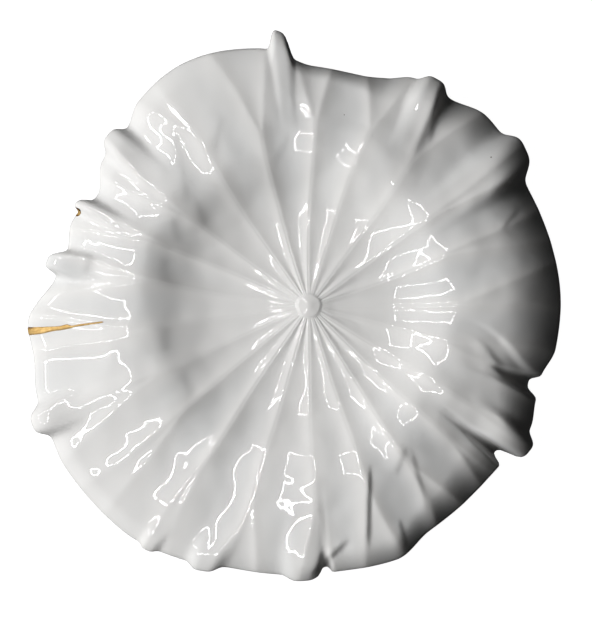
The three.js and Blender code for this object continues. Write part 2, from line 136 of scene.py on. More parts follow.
EAR_ROUNDNESS = 4
EAR_SPREAD = 1.3
EAR_FILL = 0.6
print(len(LIP_TABLE), "places round the lip,", len(FOLDS), "ears and notches,", len(VEINS), "veins")

# %% [markdown]
# ## Reading the tables
# Between two places of a table the leaf has to run on smoothly, and it may not bulge past them. A cubic
# curve whose slope is the harmonic mean of its two neighbours does that, and it closes on itself after
# one turn.

# %% Smooth curves round the leaf
def turned(angle):
    """An angle brought to between -180 and 180."""
    return (angle + 180) % 360 - 180


def smooth(share):
    """Zero below 0, one above 1, and level at both ends."""
    share = np.clip(share, 0, 1)
    return share * share * (3 - 2 * share)


def smoother(share):
    """As smooth, but its bend starts and ends softly too."""
    share = np.clip(share, 0, 1)
    return share**3 * (share * (6 * share - 15) + 10)


def bell(offset, half_width):
    return np.exp(-np.abs(offset / half_width) ** EAR_ROUNDNESS)


def round_curve(column):
    """A closed curve through one column of the lip's table."""
    places = LIP_TABLE[:, 0] - LIP_TABLE[0, 0]
    values = LIP_TABLE[:, column]
    spans = (np.roll(places, -1) - places) % 360
    grades = (np.roll(values, -1) - values) / spans
    before = np.roll(grades, 1)
    agree = before * grades > 0
    tangents = np.where(agree, 2 * before * grades / np.where(agree, before + grades, 1), 0)

    def curve(angle):
        along = (angle - LIP_TABLE[0, 0]) % 360
        i = np.searchsorted(places, along, side="right") - 1
        j = (i + 1) % len(values)
        t = (along - places[i]) / spans[i]
        bend = t * (1 - t) ** 2 * tangents[i] - t * t * (1 - t) * tangents[j]
        return values[i] + (values[j] - values[i]) * smooth(t) + bend * spans[i]

    return curve


plain_reach, flank_rise, lip_fall, lip_curl, lip_curl_width = (round_curve(n) for n in range(1, 6))


def reach(angle):
    """Distance from the knob to the lip's outer edge."""
    folded = sum(extra * bell(turned(angle - at), width) for at, extra, width, *_ in FOLDS)
    return (plain_reach(angle) + folded) * LEAF_RADIUS


quarters = np.array([0.0, 90.0, 180.0, 270.0])
print("the lip reaches", reach(quarters).round(1), "mm right, back, left and front")

# %% [markdown]
# ## The broad form
# Seen in section the leaf is a shallow basin, a steeper flank up to a soft crest, a falling outer face
# and a curl at the lip. Ears and notches are bells that grow towards the lip. The same function gives the
# upper face and, a little fuller, the underside, where a maker fills the back of each ear with clay.

# %% Height of the leaf without its veins
PROBE = 0.5


def crest_radius(angle):
    turn = np.radians(angle)
    wave = CREST_WAVE * np.sin(3 * turn) * np.cos(2 * turn + 1)
    return CREST_RADIUS * (1 - CREST_SHIFT * np.cos(turn) + wave)


def broad_height(angle, distance, ear_share=1.0, curl_extra=0.0):
    crest_at = crest_radius(angle)
    inside = np.minimum(distance / crest_at, 1)
    basin = BASIN_DEPTH * (1 - (1 - inside**2) ** 2)
    hub = HUB_RISE * np.maximum(1 - distance / HUB_RADIUS, 0) ** HUB_POWER
    flank_height = FLANK_DEPTH * flank_rise(angle)
    climb = np.maximum((inside - FLANK_SHARE) / (1 - FLANK_SHARE), 0) ** FLANK_SKEW
    flank = flank_height * smoother(climb)
    crest = FLOOR_HEIGHT + BASIN_DEPTH + flank_height
    lip = reach(angle)
    outside = np.maximum((distance - crest_at) / (lip - crest_at), 0)
    ramp = (np.hypot(outside, SHOULDER) - SHOULDER) / (math.hypot(1, SHOULDER) - SHOULDER)
    curl_width = lip_curl_width(angle) * LEAF_RADIUS + curl_extra
    curl = np.maximum(1 - (lip - distance) / curl_width, 0) ** CURL_POWER
    fallen = lip_fall(angle) * ramp + lip_curl(angle) * curl
    height = FLOOR_HEIGHT + basin + hub + flank - crest * fallen
    for at, _, half_width, rise, share, lean in FOLDS:
        along = smooth(1 - (lip - distance) / (share * LEAF_RADIUS))
        amount = rise * ear_share if rise > 0 else rise
        offset = turned(angle - at - lean * (1 - along))
        height = height + crest * amount * along * bell(offset, half_width * EAR_SPREAD)
    return height


def broad_slope(angle, distance, ear_share=1.0, curl_extra=0.0):
    """Rise of the broad form per millimetre outward."""
    ahead = broad_height(angle, distance + PROBE, ear_share, curl_extra)
    return (ahead - broad_height(angle, distance - PROBE, ear_share, curl_extra)) / (2 * PROBE)


print("crest height", broad_height(np.array([0.0, 90.0]), np.array([CREST_RADIUS] * 2)).round(1), "mm")

# %% [markdown]
# ## Veins and panels
# On the real leaf the veins are drawn tight and the panels between them sag like a tent. So the height of
# a point depends on how far it is from the vein on its left and on its right. Round the knob the veins
# are close together and count for more, most of all on the right. No two panels of a hand-pressed leaf
# sag alike, and a slow wander keeps the veins from being ruled lines. In two quiet stretches of the lip
# they run out before they reach it.

# %% Sag of the panels
PANEL_SAG = 0.055
OUTER_SAG = 0.4
KNOB_PLEAT = 0.08
PLEAT_LEAN = 0.5
PLEAT_SIDE = -30
PLEAT_VARIETY = 0.6
PLEAT_RADIUS = 42
RIB_WIDTH = 1.1
VEIN_CREST = 0.5
VEIN_CREST_GROWTH = 0.004
VEIN_CREST_SHARE = 0.125
NARROWEST_PANEL = 0.1
PANEL_VARIETY = 0.35
WANDER = 0.5
WANDER_LENGTH = 15
GOLDEN_TURN = 2.4
# Where the veins run out before the lip: middle and half width in degrees, share that is lost
QUIET = [(115, 24, 0.65), (226, 30, 0.75)]


def panel_sag(angle, distance):
    """How far a point lies below the veins on either side of it, in millimetres."""
    before = np.full(angle.shape, 360.0)
    after = np.full(angle.shape, 360.0)
    panel = np.zeros(angle.shape)
    on_rib = np.zeros(angle.shape, bool)
    for number, (at_knob, at_fork, share, left, right) in enumerate(VEINS):
        fork = share * LEAF_RADIUS
        sway = WANDER * np.sin(distance / WANDER_LENGTH + GOLDEN_TURN * number)
        middle = at_knob + (at_fork - at_knob) * np.minimum(distance / fork, 1)
        middle = middle + sway * smooth(distance / CREST_RADIUS)
        for side, end in ((-1, left), (1, right)):
            opened = np.maximum((distance - fork) / (reach(float(end)) - fork), 0) ** FORK_SPREAD
            rib = np.degrees(RIB_WIDTH / 2 / np.maximum(distance, RIB_WIDTH)) * (1 - np.minimum(opened, 1))
            offset = turned(middle + (end - at_fork) * opened + side * rib - angle)
            nearer = (offset <= 0) & (-offset < before)
            panel = np.where(nearer, 2 * number + side, panel)
            on_rib = np.where(nearer, (side < 0) & (distance < fork), on_rib)
            before = np.where(nearer, -offset, before)
            after = np.where((offset > 0) & (offset < after), offset, after)
    to_left = np.radians(before) * distance
    to_right = np.radians(after) * distance
    width = np.maximum(to_left + to_right, NARROWEST_PANEL)
    crest = np.minimum(VEIN_CREST + VEIN_CREST_GROWTH * distance, VEIN_CREST_SHARE * width)
    drop = (np.hypot(to_left, crest) - crest) * (np.hypot(to_right, crest) - crest)
    variety = 1 + PANEL_VARIETY * np.sin(GOLDEN_TURN * panel)
    outer = smooth((distance - CREST_RADIUS) / (LEAF_RADIUS - CREST_RADIUS))
    quiet = sum(share * bell(turned(angle - middle), half_width) for middle, half_width, share in QUIET)
    deeper = (1 + OUTER_SAG * outer) * (1 - quiet * np.sqrt(outer))
    toward_side = PLEAT_LEAN * np.cos(np.radians(angle - PLEAT_SIDE))
    strength = 1 + toward_side + PLEAT_VARIETY * np.cos(GOLDEN_TURN * panel)
    pleat = np.where(on_rib, 0, KNOB_PLEAT * strength * width * np.sin(np.pi * to_left / width) ** 2)
    near_knob = 1 - smooth(distance / PLEAT_RADIUS)
    from_knob = smooth((distance - KNOB_RADIUS) / KNOB_SLOPE)
    return (4 * PANEL_SAG * deeper * variety * drop / width + pleat * near_knob) * from_knob


test_angles = np.linspace(0, 359, 360)
crest_sag = panel_sag(test_angles, np.full(360, CREST_RADIUS))
print("deepest panel at the crest:", crest_sag.max().round(2), "mm")

# %% [markdown]
# ## Puckers and creases
# The skin of a leaf isn't smooth. Soft dents, from noise of two sizes, stand for its puckers. A few
# creases are listed, because the eye finds them at once: each is a line where the face drops a
# little to one side, and swells beside it. They are all under two millimetres deep, so they are made here
# and not in the solid.

# %% Puckers and creases of the skin
DENT_LENGTH = 30
DENT_DEPTH = 1.3
PUCKER_LENGTH = 12
PUCKER_DEPTH = 0.5
LIP_CALM = 0.6
LIP_CALM_WIDTH = 50
# Both ends of a crease, its height, how wide its drop is and how wide the swell beside it
CREASES = [
    (33, -138, 34, -86, 0.9, 0.8, 5), (-1, -152, 24, -129, 1.3, 1.2, 5), (68, -120, 56, -76, 0.4, 1.2, 6),
    (55, -136, 50, -118, 0.6, 1, 4), (107, 42, 118, 55, 0.4, 0.8, 6), (67, 88, 74, 126, 0.6, 1, 5),
    (-54, 84, -47, 108, 0.3, 2.5, 5), (-20, 78, -10, 96, 0.3, 2, 5), (-66, 54, -76, 103, 0.8, 5, 9),
    (48, -95, 55, -77, 0.6, 2, 5), (8, 3, 28, 10, 0.5, 1.6, 5), (30, -11, 8, -3, 0.5, 1.6, 5),
    (-125, 16, -121, 30, 0.4, 2, 5),
    (-72, 33, -76, 51, 0.7, 4, 8), (-80, 12, -80, 28, 0.6, 4, 8), (-57, 43, -63, 61, 0.7, 4, 8),
    (-80, -27, -80, -10, 0.6, 4, 8), (-64, -52, -72, -34, 0.7, 4, 8),
]


def creases(x, y):
    """Folds of the skin: beside each line the face swells on one side and sinks on the other."""
    total = np.zeros(x.shape)
    for x0, y0, x1, y1, rise, drop_width, swell_width in CREASES:
        length = math.hypot(x1 - x0, y1 - y0)
        east, north = (x1 - x0) / length, (y1 - y0) / length
        along = (x - x0) * east + (y - y0) * north
        across = (x - x0) * north - (y - y0) * east
        window = smooth(4 * along / length) * smooth(4 - 4 * along / length)
        total -= rise * window * np.tanh(across / drop_width) * np.exp(-np.abs(across) / swell_width)
    return total


def dents(x, y, distance):
    """Soft hollows and swellings of the skin. They fade out towards the knob and are less at the lip."""
    calmed = LIP_CALM * smooth((distance - CREST_RADIUS) / LIP_CALM_WIDTH)
    amount = smooth(distance / CREST_RADIUS) * (1 - calmed)
    total = np.zeros(x.shape)
    for size, depth, layer in ((DENT_LENGTH, DENT_DEPTH, 3.0), (PUCKER_LENGTH, PUCKER_DEPTH, 8.0)):
        spots = zip(x / size, y / size)
        total += depth * np.array([noise.noise(Vector((east, north, layer))) for east, north in spots])
    return amount * total + creases(x, y)


print(len(CREASES), "creases, the highest", max(crease[4] for crease in CREASES), "mm")

# %% [markdown]
# ## The mould as one function
# A maker rolls a flat slab of clay and presses it over the mould. This function does the same to a mesh:
# it takes points of a flat slab, with the slab's middle plane at zero, and moves them to the leaf. The
# slab's upper face goes to the leaf's upper face and its lower face to the underside. What stands out
# from the slab's edge or faces stands out just as far from the leaf, and a foot turned under the slab
# always ends on the table.

# %% Press points of the slab into the leaf
LIP_BLEND = 12
FOOT_ZONE = 60


def lip_end(angle):
    """Where the wall ends and its round edge starts, and the slope there."""
    edge = reach(angle)
    slope = broad_slope(angle, edge - PROBE)
    lean = np.abs(slope) / np.hypot(1, slope)
    return edge - WALL / 2 * (1 - lean), slope


def pressed(points):
    """Moves points of the slab, as rows in millimetres, to the leaf. Also gives how deep each panel is."""
    x, y, z = points.T
    radius = np.hypot(x, y)
    angle = np.degrees(np.arctan2(y, x)) % 360
    end, end_slope = lip_end(angle)
    share = np.clip((radius - CREST_RADIUS) / (LEAF_RADIUS - CREST_RADIUS), 0, 1)
    distance = np.where(radius < CREST_RADIUS, radius, CREST_RADIUS + share * (end - CREST_RADIUS))
    slope = np.where(share >= 1, end_slope, broad_slope(angle, distance))
    length = np.hypot(1, slope)

    sag = panel_sag(angle, distance)
    plan_x = distance * np.cos(np.radians(angle))
    plan_y = distance * np.sin(np.radians(angle))
    wobble = KNOB_WOBBLE * np.sin(np.radians(3 * angle)) * np.cos(np.radians(2 * angle))
    knob_edge = KNOB_RADIUS * (1 + wobble)
    knob = KNOB_HEIGHT * smooth((knob_edge + KNOB_SLOPE - distance) / KNOB_SLOPE)
    top_height = broad_height(angle, distance) - sag + knob + dents(plan_x, plan_y, distance)

    under_slope = broad_slope(angle, distance, EAR_FILL, UNDER_CURL_EXTRA)
    under_length = np.hypot(1, under_slope)
    under_height = broad_height(angle, distance, EAR_FILL, UNDER_CURL_EXTRA)
    deepest = PANEL_SAG * (1 + OUTER_SAG) * np.pi * distance / (2 * len(VEINS))
    under_height = np.minimum(under_height, broad_height(angle, distance) - deepest) - WALL / under_length
    under_distance = distance + WALL * under_slope / under_length
    at_lip = smooth(1 - (end - distance) / LIP_BLEND)
    under_height = under_height + at_lip * (top_height - WALL / length - under_height)
    under_distance = under_distance + at_lip * (distance + WALL * slope / length - under_distance)

    depth = np.clip(z / WALL + 0.5, 0, 1)
    beyond = np.maximum(radius - LEAF_RADIUS, 0)
    above = np.maximum(z - WALL / 2, 0)
    below = np.maximum(-WALL / 2 - z, 0)
    is_foot = (radius < FOOT_ZONE) & (below > 0)
    square = above - np.where(is_foot, 0, below)
    out = under_distance + depth * (distance - under_distance) + (beyond - square * slope) / length
    height = under_height + depth * (top_height - under_height) + (beyond * slope + square) / length
    height = np.where(is_foot, under_height * (1 - below / FOOT_HEIGHT), height)
    moved = np.column_stack([out * np.cos(np.radians(angle)), out * np.sin(np.radians(angle)), height])
    return moved, sag


def to_slab(x, y):
    """The inverse in the plan: where on the flat slab a place of the leaf was."""
    distance = np.hypot(x, y)
    angle = np.degrees(np.arctan2(y, x)) % 360
    end, _ = lip_end(angle)
    radius = CREST_RADIUS + (distance - CREST_RADIUS) / (end - CREST_RADIUS) * (LEAF_RADIUS - CREST_RADIUS)
    radius = np.where(distance < CREST_RADIUS, distance, radius)
    return radius * x / distance, radius * y / distance


print("the lip's wall ends at", round(float(lip_end(np.array([180.0]))[0][0]), 1), "mm on the left")

# %% [markdown]
# ## Drawing with one point
# Turned and cut shapes start as a line. The handiest line in Blender is a point that is extruded again
# and again. A plane is added, its corners are merged to one point, and each extrusion draws the next
# stretch. Everything is deselected first, because the loaded solids are still selected.

# %% Helpers for drawing
def start_piece(name):
    """A new mesh in edit mode that holds one point, at the origin."""
    bpy.ops.object.select_all(action="DESELECT")
    bpy.ops.mesh.primitive_plane_add(size=1, location=(0, 0, 0))
    piece = bpy.context.active_object
    piece.name = name
    piece.data.name = name
    bpy.ops.object.mode_set(mode="EDIT")
    bpy.ops.mesh.select_mode(type="VERT")
    bpy.ops.mesh.select_all(action="SELECT")
    bpy.ops.mesh.merge(type="CENTER")
    return piece


def draw_line(points, closed=False, merge_distance=0.01):
    """Draws a line through points, in millimetres, from the point that is selected."""
    stops = list(points) + ([points[0]] if closed else [])
    at = Vector((0, 0, 0))
    for number, stop in enumerate(stops):
        step = Vector(stop) * MM - at
        if number == 0:
            bpy.ops.transform.translate(value=step)
        else:
            bpy.ops.mesh.extrude_region_move(TRANSFORM_OT_translate={"value": step})
        at = Vector(stop) * MM
    bpy.ops.mesh.select_all(action="SELECT")
    if closed:
        bpy.ops.mesh.remove_doubles(threshold=merge_distance * MM)


def spin_line(steps, merge_distance):
    """Spins the drawn line once round the upright axis, and closes the seam and the poles."""
    bpy.ops.mesh.spin(steps=steps, angle=2 * math.pi, center=(0, 0, 0), axis=(0, 0, 1))
    bpy.ops.mesh.select_all(action="SELECT")
    bpy.ops.mesh.remove_doubles(threshold=merge_distance * MM)


def face_outward():
    bpy.ops.mesh.select_all(action="SELECT")
    bpy.ops.mesh.normals_make_consistent(inside=False)
    bpy.ops.object.mode_set(mode="OBJECT")


def slab_points(piece):
    """A piece's points in millimetres, as rows."""
    flat = np.empty(len(piece.data.vertices) * 3)
    piece.data.vertices.foreach_get("co", flat)
    return flat.reshape(-1, 3) / MM


def place_points(piece, points):
    """Moves a piece's points to these places round the knob, and lifts them to the frame."""
    placed = points * MM + np.array([knob_x, knob_y, 0.0])
    piece.data.vertices.foreach_set("co", placed.astype(np.float32).ravel())
    piece.data.update()


def keep_values(piece, name, values):
    """Stores one number for each point, which a finish can read by its name."""
    attribute = piece.data.attributes.new(name, "FLOAT", "POINT")
    attribute.data.foreach_set("value", np.asarray(values, dtype=np.float32))


# %% [markdown]
# ## The slab
# The slab could be a cylinder primitive, but its rings would be spaced evenly. The leaf needs close rings
# at the knob and the lip, and wide ones between. So half of the slab's section is drawn, from the middle
# of the upper face, over a round edge, and back underneath past the foot ring, and is spun once round.

# %% Draw and spin the slab
COLUMNS = 720
FOOT_WIDTH = 6
FLANK_START = 60
# Radii of the slab's rings: close at the knob, wider from the basin to the lip, then under the wall
KNOB_RINGS = [0, 2.2, 4.0, 5.0, 5.4, 5.7, 6.0, 6.3, 6.6, 6.9, 7.3, 7.9, 8.7, 9.8, 11.2, 13.0]
BASIN_RINGS = list(np.arange(15.2, FLANK_START, 2.4))
FLANK_RINGS = list(np.arange(FLANK_START, CREST_RADIUS, 2.0))
OUTER_RINGS = list(np.linspace(CREST_RADIUS, LEAF_RADIUS, 39))
UNDER_RINGS = [151, 149, 146.5, 143.5, 140, 136, 131, 125, 118, 110, 101, 92, 83, 74, 65, 56]
MIDDLE_RINGS = [24, 16, 8, 0]
# One side of the foot ring: how far it stands out from the ring, and how far below the wall
FOOT_SIDE = [
    (3.5, 0), (2.0, 0.6), (1.2, 1.8), (0.4, FOOT_HEIGHT - 1.2), (0, FOOT_HEIGHT - 0.5), (-0.6, FOOT_HEIGHT),
]

half_wall = WALL / 2
foot_inner = foot_radius - FOOT_WIDTH
top_rings = [(r, half_wall) for r in KNOB_RINGS + BASIN_RINGS + FLANK_RINGS + OUTER_RINGS]
edge_turns = np.radians(np.linspace(0, 180, 7)[1:-1])
edge_rings = [(LEAF_RADIUS + half_wall * math.sin(t), half_wall * math.cos(t)) for t in edge_turns]
under_rings = [(r, -half_wall) for r in UNDER_RINGS]
foot_rings = [(foot_radius + out, -half_wall - down) for out, down in FOOT_SIDE]
foot_rings += [(foot_inner - out, -half_wall - down) for out, down in FOOT_SIDE[::-1]]
middle_rings = [(r, -half_wall) for r in MIDDLE_RINGS]
section = top_rings + edge_rings + under_rings + foot_rings + middle_rings

bowl = start_piece("leaf_bowl")
draw_line([(r, 0, z) for r, z in section])
spin_line(COLUMNS, merge_distance=0.002)
face_outward()
print("slab:", len(section), "rings,", len(bowl.data.polygons), "faces")

# %% [markdown]
# ## The outlines of the gold
# Both fills are known by their outline in the plan. The split is narrow and ragged, so it is a list: at
# each distance from the knob, how far its two edges lie to the side of its line. The edges were read off
# the photograph by eye, and a helper script worked these values out from the pixel places. The chip is a
# round bite, and its edges follow from a circle.

# %% The split and the chip
SPLIT_ANGLE = 184.9
SPLIT = [
    (115.0, -1.15, -0.65), (115.8, -1.32, -0.42), (123.0, -0.99, 0.00), (128.6, -0.74, 0.32),
    (131.6, -0.40, 0.50), (132.8, -0.40, 0.92), (133.8, -0.80, 1.05), (135.2, -1.33, 1.28),
    (137.0, -1.07, 1.42), (138.9, -0.68, 1.58), (143.0, -0.77, 1.72), (146.0, -0.90, 2.15),
    (149.0, -1.03, 2.58), (154.4, -1.35, 2.92), (160.0, -1.75, 2.95),
]
CHIP_ANGLE = 158.0
CHIP_RADIUS = 2.3
CHIP_DEPTH = 1.5
chip_edge = float(reach(np.array([CHIP_ANGLE]))[0])
chip_middle = chip_edge - CHIP_DEPTH + CHIP_RADIUS
bite_turns = np.radians(np.linspace(8, 90, 9))
chip_places = chip_middle - CHIP_RADIUS * np.cos(bite_turns)
chip_widths = np.sqrt(CHIP_RADIUS**2 - (chip_places - chip_middle) ** 2)
CHIP = [(place, -width, width) for place, width in zip(chip_places, chip_widths)]
CHIP.append((chip_edge + CHIP_RADIUS, -CHIP_RADIUS, CHIP_RADIUS))


def edges_at(outline, distance):
    """The two edges of an outline at some distances from the knob."""
    table = np.array(outline)
    return np.interp(distance, table[:, 0], table[:, 1]), np.interp(distance, table[:, 0], table[:, 2])


def beside(angle, along, across):
    """The place that lies along a line from the knob, and across it, in the plan."""
    a = math.radians(angle)
    return along * math.cos(a) - across * math.sin(a), along * math.sin(a) + across * math.cos(a)


print("the split is", round(reach(np.array([SPLIT_ANGLE]))[0] - SPLIT[0][0], 1), "mm long")

# %% [markdown]
# ## Cutting the breaks
# The gold fills real gaps, so the slab is cut through before it is pressed, while it is still flat and
# easy to cut. Each cutter is the outline, drawn as a closed line, filled and extruded through the slab,
# and a Boolean modifier takes it out. The gap is a hair wider than the gold.

# %% Cut the split and the chip out of the slab
HAIR = 0.05


def select_only(piece):
    bpy.ops.object.select_all(action="DESELECT")
    bpy.context.view_layer.objects.active = piece
    piece.select_set(True)


def cut_break(outline, angle, name):
    table = np.array(outline)
    first = beside(angle, table[:, 0], table[:, 1] - HAIR)
    second = beside(angle, table[::-1, 0], table[::-1, 2] + HAIR)
    x, y = to_slab(np.concatenate([first[0], second[0]]), np.concatenate([first[1], second[1]]))
    cutter = start_piece(name)
    draw_line([(px, py, -2 * WALL) for px, py in zip(x, y)], closed=True)
    bpy.ops.mesh.edge_face_add()
    bpy.ops.mesh.extrude_region_move(TRANSFORM_OT_translate={"value": (0, 0, 4 * WALL * MM)})
    face_outward()
    modifier = bowl.modifiers.new("break", "BOOLEAN")
    modifier.operation = "DIFFERENCE"
    modifier.solver = "EXACT"
    modifier.object = cutter
    select_only(bowl)
    bpy.ops.object.modifier_apply(modifier=modifier.name)
    bpy.data.objects.remove(cutter)


cut_break(SPLIT, SPLIT_ANGLE, "split_cutter")
cut_break(CHIP, CHIP_ANGLE, "chip_cutter")
print("after the cuts:", len(bowl.data.polygons), "faces")

# %% [markdown]
# ## Pressing the leaf
# Now the slab is pressed. The foot's face stays free of glaze, because a glazed foot would stick to the
# kiln shelf, so its points are marked. The depth of each panel is kept too, since glaze gathers there.

# %% Press the slab into the leaf
BARE_HEIGHT = 0.8
POOL_DEPTH = 1.6

flat = slab_points(bowl)
leaf_points, leaf_sag = pressed(flat)
foot_face = flat[:, 2] < -half_wall - FOOT_HEIGHT + BARE_HEIGHT
place_points(bowl, leaf_points)
keep_values(bowl, "bare", foot_face)
keep_values(bowl, "pool", smooth(leaf_sag / POOL_DEPTH))


def smooth_shading(piece, sharp_from):
    """Smooths the edges whose faces meet at less than some degrees."""
    select_only(piece)
    bpy.ops.object.shade_smooth_by_angle(angle=math.radians(sharp_from))


smooth_shading(bowl, sharp_from=60)
bowl_low = leaf_points.min(axis=0)
bowl_high = leaf_points.max(axis=0)
print("leaf, mm:", (bowl_high - bowl_low).round(1), "lowest", bowl_low[2].round(2))

# %% [markdown]
# ## The gold fills
# Gold lacquer is built up in layers until it stands a little proud of the glaze, and it wraps the lip. So
# a fill follows the slab's own section, over the upper face, round the edge and back below. That section
# is drawn and filled, extruded across in steps, and then each step is moved between the outline's two
# edges. A low crown, with the small lumps of brushed lacquer, lifts its middle.

# %% Build a fill from an outline
CROWN = 0.32
LUMP_LENGTH = 2.2
LUMP_HEIGHT = 0.10
RAGGED = 0.10
RAGGED_ALONG = 1.7
RAGGED_ACROSS = 3
RAGGED_LAYER = 5


def lumps(along, across, seed):
    return np.array([
        noise.noise(Vector((a / LUMP_LENGTH, c / LUMP_LENGTH, seed))) for a, c in zip(along, across)
    ])


def draw_fill(name, start, step, across_steps):
    """The slab's section from one radius outward, extruded across in steps of one millimetre."""
    run = np.linspace(start, LEAF_RADIUS, max(int((LEAF_RADIUS - start) / step), 3))
    turns = np.radians(np.linspace(0, 180, 11)[1:-1])
    upper = [(r, 0, half_wall) for r in run]
    edge = [(LEAF_RADIUS + half_wall * math.sin(t), 0, half_wall * math.cos(t)) for t in turns]
    lower = [(r, 0, -half_wall) for r in run[::-1]]
    piece = start_piece(name)
    draw_line(upper + edge + lower, closed=True)
    bpy.ops.mesh.edge_face_add()
    for _ in range(across_steps):
        bpy.ops.mesh.extrude_region_move(TRANSFORM_OT_translate={"value": (0, MM, 0)})
    face_outward()
    return piece


def make_fill(name, outline, angle, step, across_steps, rim, seed):
    """A gold fill between the two edges of an outline, pressed with the leaf."""
    tip_x, tip_y = to_slab(*beside(angle, np.array([outline[0][0]]), np.array([0.0])))
    piece = draw_fill(name, float(np.hypot(tip_x, tip_y)[0]), step, across_steps)
    points = slab_points(piece)
    along, level = points[:, 0], points[:, 2]
    side = 2 * points[:, 1] / across_steps - 1
    beyond = np.maximum(along - LEAF_RADIUS, 0)
    at = np.minimum(along, LEAF_RADIUS)
    end = float(lip_end(np.array([angle]))[0][0])
    distance = CREST_RADIUS + (at - CREST_RADIUS) / (LEAF_RADIUS - CREST_RADIUS) * (end - CREST_RADIUS)
    low, high = edges_at(outline, distance + beyond)
    rags = lumps(distance * RAGGED_ALONG, side * RAGGED_ACROSS, seed + RAGGED_LAYER)
    ragged = RAGGED * rags * np.abs(side)
    across = (low + high) / 2 + side * ((high - low) / 2) + ragged
    x, y = to_slab(*beside(angle, distance, across))
    radius = np.hypot(x, y)
    shift = (at - radius + beyond) / radius
    x, y = x * (1 + shift), y * (1 + shift)
    lumpy = 1 + LUMP_HEIGHT / CROWN * lumps(distance, across, seed)
    crown = CROWN * np.sqrt(np.maximum(1 - side**2, 0)) * lumpy
    facing = np.hypot(beyond, level)
    out = np.where(beyond > 0, beyond / facing, 0) * crown
    up = np.where(beyond > 0, level / facing, np.sign(level)) * crown
    grown = np.column_stack([x * (1 + out / radius), y * (1 + out / radius), level + up])
    placed, _ = pressed(grown)
    place_points(piece, placed)
    keep_values(piece, "border", np.abs(side))
    keep_values(piece, "at_lip", smooth((distance + beyond - end + rim - 1) / rim))
    smooth_shading(piece, sharp_from=50)
    print(name, len(piece.data.polygons), "faces")
    return piece


seam = make_fill("split_gold", SPLIT, SPLIT_ANGLE, step=0.5, across_steps=12, rim=5, seed=1.0)
chip = make_fill("chip_gold", CHIP, CHIP_ANGLE, step=0.15, across_steps=12, rim=2, seed=2.0)

# %% [markdown]
# ## Writing finishes as sums
# A finish is a network of nodes, but most of it is arithmetic. This small class wraps one socket, so that
# masks can be added and multiplied in plain Python, and one method makes every other kind of node.

# %% A wire of a finish
class Wire:
    """One socket of a finish. Arithmetic on wires adds Math nodes."""

    def __init__(self, tree, socket=None):
        self.tree = tree
        self.socket = socket

    def node(self, kind, settings, inputs, output=0):
        """Adds a node with its settings and the values or wires of its sockets."""
        made = self.tree.nodes.new(kind)
        for name, value in settings.items():
            setattr(made, name, value)
        for name, value in inputs.items():
            if isinstance(value, Wire):
                self.tree.links.new(value.socket, made.inputs[name])
            else:
                made.inputs[name].default_value = value
        return Wire(self.tree, made.outputs[output] if made.outputs else None)

    def math(self, operation, first, second=0.0):
        return self.node("ShaderNodeMath", {"operation": operation}, {0: first, 1: second})

    def __add__(self, other):
        return self.math("ADD", self, other)

    def __radd__(self, other):
        return self.math("ADD", other, self)

    def __sub__(self, other):
        return self.math("SUBTRACT", self, other)

    def __rsub__(self, other):
        return self.math("SUBTRACT", other, self)

    def __mul__(self, other):
        return self.math("MULTIPLY", self, other)

    def __rmul__(self, other):
        return self.math("MULTIPLY", other, self)


def new_finish(name):
    """A fresh material and a wire to start its network from."""
    material = bpy.data.materials.new(name)
    material.use_nodes = True
    material.node_tree.nodes.clear()
    return material, Wire(material.node_tree)


def limited(wire, low, high):
    """A wire's value stretched so that low becomes 0 and high becomes 1, and held between them."""
    inputs = {"Value": wire, "From Min": low, "From Max": high}
    return wire.node("ShaderNodeMapRange", {"clamp": True}, inputs)


def blended(wire, share, first, second):
    """A colour between two others."""
    settings = {"data_type": "RGBA", "blend_type": "MIX"}
    return wire.node("ShaderNodeMix", settings, {"Factor": share, 6: first, 7: second}, 2)


def noise_of(wire, coordinates, scale, detail, roughness=0.5):
    settings = {"noise_dimensions": "3D"}
    inputs = {"Vector": coordinates, "Scale": scale, "Detail": detail, "Roughness": roughness}
    return wire.node("ShaderNodeTexNoise", settings, inputs)


def bumped(relief, strength, height):
    """A bump of this height in millimetres, for the Normal socket of a surface."""
    inputs = {"Height": relief, "Strength": strength, "Distance": height * MM}
    return relief.node("ShaderNodeBump", {}, inputs)


def finish_surface(start, sockets):
    surface = start.node("ShaderNodeBsdfPrincipled", {}, sockets)
    start.node("ShaderNodeOutputMaterial", {}, {"Surface": surface})


print("wires are ready")

# %% [markdown]
# ## Glazed porcelain
# The glaze is a thin layer of clear glass on white clay, so the base is nearly white with a faint
# grey-green where the glaze gathers between the veins, and a warmer white in soft patches where it runs
# thin. Its face is not quite flat: a very low bump breaks up the edges of the highlights. Two dark specks
# are iron in the clay, and the foot's face is bare biscuit, matt and a little warm.

# %% Porcelain
GLAZE_WHITE = (0.805, 0.798, 0.785, 1)
GLAZE_THIN = (0.835, 0.828, 0.81, 1)
GLAZE_POOLED = (0.75, 0.752, 0.745, 1)
BISCUIT = (0.72, 0.67, 0.59, 1)
IRON = (0.10, 0.07, 0.05, 1)
SPECKS = [(101.4, 82.9), (19.6, 106.4)]
SPECK_RADIUS = 0.5
SPECK_FRAY = 0.6
SPECK_SHARE = 0.85
UPPER_FACE = (20, 25)
POOL_FRAY = 0.8
GLOSS = 0.02
GLOSS_DRIFT = 0.02
BISCUIT_ROUGHNESS = 0.55
GLAZE_BUMP = 0.14
GLAZE_BUMP_HEIGHT = 0.6

